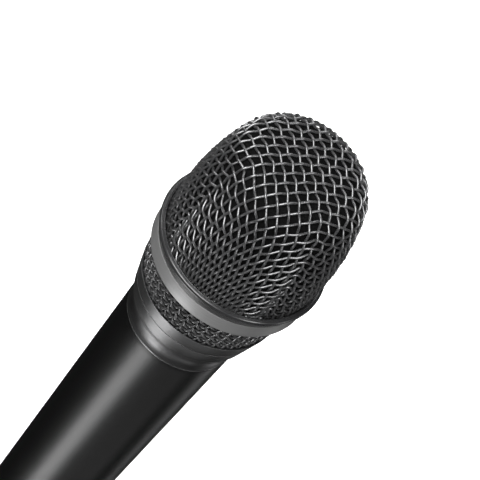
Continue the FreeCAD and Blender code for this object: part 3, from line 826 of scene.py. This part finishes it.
class MIC_OT_band(Operator):
    """Turn the band with its rounded bead, and the hoop inside it"""
    bl_idname = "mic.band"
    bl_label = "Turn band"

    def execute(self, context):
        finish = settings()[1]
        bead = (BAND_HIGH.x - BEAD_R, BAND_HIGH.z - BEAD_R)
        band_r, top_z = 24.4 * MM, LIP_Z - 2.95 * MM
        slit_r, slit_z = band_r - 0.3 * MM, top_z - 0.2 * MM
        seat_r, web_r, strip_r = bead[0] - BEAD_R, 22.9 * MM, 23.95 * MM
        outline = eased([
            [(band_r, BAND_LOW.z), (band_r, slit_z - 0.04 * MM), (slit_r, slit_z), (slit_r, top_z),
             (band_r, top_z + 0.04 * MM)],
            grooved_bead(bead, BEAD_R),
            [(seat_r, MESH_FOOT_Z), (web_r, MESH_FOOT_Z), (web_r, STRIP_HIGH.z), (strip_r, STRIP_HIGH.z),
             (strip_r, BAND_LOW.z)],
        ], 0.04 * MM)
        band = turned("band", outline, "grille", ("band_ring",))
        dress(band, once("band_satin", part_painted, tuple(finish.band), tuple(finish.rim), top_z - 0.12 * MM,
                         top_z + 0.02 * MM))
        low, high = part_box("inner_hoop")
        bore = high.x - 0.8 * MM
        section = eased([[(bore, low.z), (high.x, low.z), (high.x, high.z), (bore, high.z)]], EDGE)
        dress(turned("crimp_hoop", section, "grille", ("inner_hoop",), 192), zinc_plate())
        return {"FINISHED"}


class MIC_OT_neck(Operator):
    """Turn the grille collar and the flared neck ring with its thread, and finish the seam gasket"""
    bl_idname = "mic.neck"
    bl_label = "Turn collar and neck"

    def execute(self, context):
        finish = settings()[1]
        metal = once("neck_satin", machined, tuple(finish.neck), 0.38)
        thread_r, edge = 18.0 * MM, 0.05 * MM
        top_r, rim_r, bore_r = COLLAR_HIGH.x, COLLAR_HIGH.x - 0.45 * MM, thread_r + 0.06 * MM
        section = eased([[(bore_r, COLLAR_LOW.z), (SEAM_R, COLLAR_LOW.z), (top_r, COLLAR_HIGH.z),
                          (rim_r, COLLAR_HIGH.z), (rim_r, STRIP_LOW.z), (bore_r, STRIP_LOW.z)]], edge)
        dress(turned("collar", section, "grille", ("grille_collar",)), metal)

        shoulder_z = COLLAR_LOW.z - SEAM_GAP
        ridge_r, ridge_z = SHELL_HIGH.x, SHELL_HIGH.z
        cone_r, cone_z = 19.0 * MM, LIP_Z - 30.9 * MM
        seat_r, bore_low, bore_high = 15.28 * MM, 13.4 * MM, 16.4 * MM
        ledge_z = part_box("shock_mount")[0].z
        gasket_low, gasket_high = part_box("seam_gasket")
        foot_z, relief_r = ridge_z + edge, thread_r + 0.5 * MM
        spigot_z = np.linspace(shoulder_z + 0.1 * MM, NECK_HIGH.z - 0.1 * MM, 70)
        waist = through((ridge_r - 0.02 * MM, ridge_z + 0.5 * MM), (WAIST_R, ridge_z + 3.4 * MM),
                        (cone_r - 0.35 * MM, cone_z - 0.9 * MM), 28)
        outline = eased([
            [(bore_low, ledge_z), (bore_low, NECK_LOW.z), (seat_r, NECK_LOW.z), (seat_r, foot_z),
             (ridge_r - edge, foot_z)],
            waist,
            [(cone_r, cone_z), (SEAM_R - edge, shoulder_z), (gasket_high.x, shoulder_z),
             (gasket_high.x, gasket_low.z), (relief_r, gasket_low.z), (relief_r, shoulder_z),
             (thread_r, shoulder_z)],
            np.stack([np.full(len(spigot_z), thread_r), spigot_z], 1),
            [(thread_r - 0.1 * MM, NECK_HIGH.z), (bore_high, NECK_HIGH.z), (bore_high, ledge_z)]], edge)

        def thread(r, z, angle):
            """A groove cut into the spigot that climbs one pitch a turn and runs out at both ends.

            Its depth goes with 1.4 - 4 |phase - 1/2|, held from 0 to 1, where phase = z / pitch - turns.
            """
            pitch, depth, run_out = 1.0 * MM, 0.45 * MM, 0.5 * MM
            phase = (z / pitch - angle / TAU) % 1.0
            cut = np.clip(1.4 - abs(phase - 0.5) * 4.0, 0, 1)
            on = (abs(r - thread_r) < 1e-7) & (z > shoulder_z + 0.05 * MM)
            ends = np.clip((z - shoulder_z) / run_out, 0, 1) * np.clip((NECK_HIGH.z - z) / run_out, 0, 1)
            return -depth * cut * ends * on

        dress(turned("neck", outline, "handle", ("neck_ring",), ridge=thread), metal)
        dress(NODES["seam_gasket"], once("gasket_rubber", moulded, (0.02, 0.02, 0.02), 0.6))
        return {"FINISHED"}


class MIC_OT_handle(Operator):
    """Turn the tapered handle shell"""
    bl_idname = "mic.handle"
    bl_label = "Turn handle"

    def execute(self, context):
        finish = settings()[1]
        ridge_r, ridge_z = SHELL_HIGH.x, SHELL_HIGH.z
        tail_r = ridge_r - HANDLE_TAPER * ridge_z
        seat_r, neck_seat_r, wall = 11.0 * MM, 15.3 * MM, 2.45 * MM
        seat_z, neck_z = 26.0 * MM, ridge_z - 10 * MM
        chamfer, step, bore_z = 0.6 * MM, HANDLE_TAPER * 2 * MM, seat_z + 1 * MM
        side = np.stack([np.linspace(tail_r + step, ridge_r - step, 40),
                         np.linspace(2 * MM, ridge_z - 2 * MM, 40)], 1)
        outline = eased([
            [(seat_r, 0), (tail_r - chamfer, 0), (tail_r + 0.02 * MM, chamfer)],
            side,
            [(ridge_r, ridge_z), (neck_seat_r, ridge_z), (neck_seat_r, neck_z),
             (ridge_r - wall - 0.6 * MM, neck_z - 1.5 * MM),
             (tail_r + HANDLE_TAPER * bore_z - wall, bore_z), (seat_r, seat_z)],
        ], 0.25 * MM)
        shell = turned("handle", outline, "handle", ("handle_shell",))
        paint = once("handle_satin_paint", painted, tuple(finish.handle), 0.37, 0.0, 3500.0, 0.004 * MM, 0.1)
        dress(shell, paint)
        return {"FINISHED"}


class MIC_OT_inside(Operator):
    """Finish the connector, leads, transformer and cartridge"""
    bl_idname = "mic.inside"
    bl_label = "Finish inner parts"

    def execute(self, context):
        black = once("black_moulding", moulded, (0.02, 0.02, 0.021), 0.45)
        nickel = once("satin_nickel", machined, (0.55, 0.53, 0.49), 0.3)
        silver = once("silver_plate", machined, (0.80, 0.77, 0.68), 0.18)
        finishes = {
            black: ["connector_insulator", "rear_chamber", "capsule_housing", "resonator_cap"],
            nickel: ["connector_sleeve"],
            zinc_plate(): ["insert_screw"],
            silver: ["contact_pin_1", "contact_pin_2", "contact_pin_3"],
            once("tinned_brass", painted, (0.6, 0.58, 0.52), 0.3, 1.0): ["terminal_studs"],
            once("tinned_can", painted, (0.5, 0.5, 0.5), 0.38, 1.0, 900.0, 0.02 * MM): ["transformer_can"],
            once("soft_iron", machined, (0.36, 0.36, 0.37), 0.4): ["yoke_cup", "pole_piece"],
            once("magnet_nickel", painted, (0.62, 0.62, 0.64), 0.2, 1.0): ["magnet"],
            once("grey_moulding", moulded, (0.25, 0.25, 0.26), 0.5): ["frame_ring", "clamp_ring"],
            once("phenolic_board", moulded, (0.22, 0.12, 0.05), 0.45, 900.0): ["terminal_board"],
            once("acoustic_cloth", cloth, (0.10, 0.10, 0.10)): ["port_cloth", "front_cloth"],
            once("mount_rubber", moulded, (0.02, 0.02, 0.02), 0.62, 1200.0): ["shock_mount"],
            once("foam_sleeve", cellular, (0.05, 0.05, 0.05), 0.8 * MM): ["transformer_sleeve"],
            once("clear_film", filmy, (0.75, 0.75, 0.72)): ["diaphragm", "surround"],
            once("copper_winding", wound, (0.75, 0.33, 0.16)): ["voice_coil"],
            once("white_wire", moulded, (0.55, 0.55, 0.52), 0.4): ["connector_lead_1"],
            once("red_wire", moulded, (0.45, 0.02, 0.02), 0.4): ["connector_lead_2", "cartridge_lead_1"],
            once("blue_wire", moulded, (0.02, 0.06, 0.35), 0.4): ["connector_lead_3", "cartridge_lead_2"],
        }
        for mat, names in finishes.items():
            for name in names:
                dress(NODES[name], mat)
        return {"FINISHED"}


# ------------------------------------------------ stage
# Each light's setting and its share of it, then azimuth, elevation, distance, width and height.
# The low ones shine up past the floor and are what the handle, neck and band reflect.
LIGHTS = (
    ("low_front", "streak", 1.0, -17, -54, 1.2, 0.4, 0.36),
    ("low_neck", "streak", 0.4, -42, -76, 1.2, 0.35, 0.3),
    ("low_side", "fill", 1.0, 50, -60, 1.3, 0.9, 0.4),
    ("low_right", "edge", 1.0, 118, -46, 1.3, 0.25, 0.3),
    ("overhead", "key", 1.0, -24, 53, 1.4, 1.3, 1.0),
    ("high_right", "key", 0.16, 62, 28, 1.4, 0.4, 0.4),
    ("high_left", "key", 0.12, -105, 35, 1.3, 0.4, 0.5),
    ("behind", "key", 0.12, 190, 45, 1.4, 0.5, 0.5),
    ("back_strip", "key", 0.06, 200, -8, 1.4, 0.25, 1.0),
    ("side_strip", "key", 0.03, 95, -4, 1.4, 0.25, 0.8),
)


def softbox(name, azimuth, elevation, distance, width, height, power):
    """A soft light that faces the grille. Azimuth 0 is the front, 90 the right; elevation is above level."""
    a, e = math.radians(azimuth), math.radians(elevation)
    target = Vector((0, 0, LIP_Z - 0.02))
    place = target + distance * Vector((math.sin(a) * math.cos(e), -math.cos(a) * math.cos(e), math.sin(e)))
    lamp = bpy.data.lights.new(name, "AREA")
    lamp.shape = "RECTANGLE"
    lamp.size, lamp.size_y = width, height
    lamp.energy = power
    light = bpy.data.objects.new(name, lamp)
    light.location = place
    light.rotation_mode = "QUATERNION"
    light.rotation_quaternion = (target - place).to_track_quat("-Z", "Y")
    bpy.context.scene.collection.objects.link(light)


def backdrop(name, points, faces, glow):
    """A white surface that the camera sees and that neither colours nor shades the microphone."""
    mesh = bpy.data.meshes.new(name)
    mesh.from_pydata(points, [], faces)
    piece = bpy.data.objects.new(name, mesh)
    bpy.context.scene.collection.objects.link(piece)
    mat, tree, bsdf = shader(name + "_white")
    bsdf.inputs["Base Color"].default_value = (0.85, 0.85, 0.85, 1)
    bsdf.inputs["Roughness"].default_value = 0.9
    bsdf.inputs["Specular IOR Level"].default_value = 0.1
    bsdf.inputs["Emission Color"].default_value = (1, 1, 1, 1)
    bsdf.inputs["Emission Strength"].default_value = glow
    dress(piece, mat)
    piece.visible_glossy = piece.visible_diffuse = piece.visible_transmission = piece.visible_shadow = False


class MIC_OT_stage(Operator):
    """Lay the floor, set the lights and place the camera"""
    bl_idname = "mic.stage"
    bl_label = "Build stage"

    def execute(self, context):
        stage = settings()[2]
        scene = context.scene
        scene.view_settings.view_transform = "Standard"
        world = bpy.data.worlds.new("studio")
        world.use_nodes = True
        background = world.node_tree.nodes["Background"]
        background.inputs["Color"].default_value = (1, 1, 1, 1)
        background.inputs["Strength"].default_value = stage.ambient
        scene.world = world

        half, high = 4.5, 4.5
        floor_z, wall_foot_z = -0.2 * MM, -10 * MM
        corners = [(-half, -half), (half, -half), (half, half), (-half, half)]
        backdrop("floor", [(x, y, floor_z) for x, y in corners], [(0, 1, 2, 3)], 0.7)
        wall = [(x, y, z) for z in (wall_foot_z, high) for x, y in corners]
        sides = [(0, 4, 5, 1), (1, 5, 6, 2), (2, 6, 7, 3), (3, 7, 4, 0), (4, 7, 6, 5)]
        backdrop("studio_wall", wall, sides, 1.1)

        up = Vector((0, math.sin(stage.tilt), math.cos(stage.tilt)))
        right = Vector((1, 0, 0))
        back = Vector((0, -math.cos(stage.tilt), math.sin(stage.tilt)))
        across = math.cos(stage.roll) * right + math.sin(stage.roll) * up
        above = math.cos(stage.roll) * up - math.sin(stage.roll) * right
        aim = Vector((0, 0, LIP_Z)) - stage.shift_right * across - stage.shift_up * above
        place = aim + stage.distance * back
        data = bpy.data.cameras.new("camera")
        data.sensor_width = 36.0
        data.lens = stage.lens
        data.clip_start, data.clip_end = 0.05, 100.0
        camera = bpy.data.objects.new("camera", data)
        axes = Matrix((across, above, back)).transposed()
        camera.matrix_world = Matrix.Translation(place) @ axes.to_4x4()
        scene.collection.objects.link(camera)
        scene.camera = camera

        for name, setting, share, *placing in LIGHTS:
            softbox(name, *placing, getattr(stage, setting) * share)
        return {"FINISHED"}


OPERATORS = (MIC_OT_upper_grille, MIC_OT_lower_grille, MIC_OT_foam, MIC_OT_band, MIC_OT_neck, MIC_OT_handle,
             MIC_OT_inside, MIC_OT_stage)


class MIC_PT_panel(Panel):
    """Steps and settings of the microphone"""
    bl_idname = "MIC_PT_panel"
    bl_label = "Microphone"
    bl_space_type = "VIEW_3D"
    bl_region_type = "UI"
    bl_category = "Microphone"

    def draw(self, context):
        for group in settings():
            box = self.layout.box()
            for key in group.__annotations__:
                box.prop(group, key)
        for operator in OPERATORS:
            self.layout.operator(operator.bl_idname)


CLASSES = (GrilleSettings, FinishSettings, StageSettings, *OPERATORS, MIC_PT_panel)


def register():
    for cls in CLASSES:
        bpy.utils.register_class(cls)
    bpy.types.Scene.mic_grille = PointerProperty(type=GrilleSettings)
    bpy.types.Scene.mic_finish = PointerProperty(type=FinishSettings)
    bpy.types.Scene.mic_stage = PointerProperty(type=StageSettings)


def unregister():
    for name in ("mic_grille", "mic_finish", "mic_stage"):
        delattr(bpy.types.Scene, name)
    for cls in reversed(CLASSES):
        bpy.utils.unregister_class(cls)


def main():
    register()
    for operator in OPERATORS:
        group, name = operator.bl_idname.split(".")
        getattr(getattr(bpy.ops, group), name)()


if __name__ == "__main__":
    main()
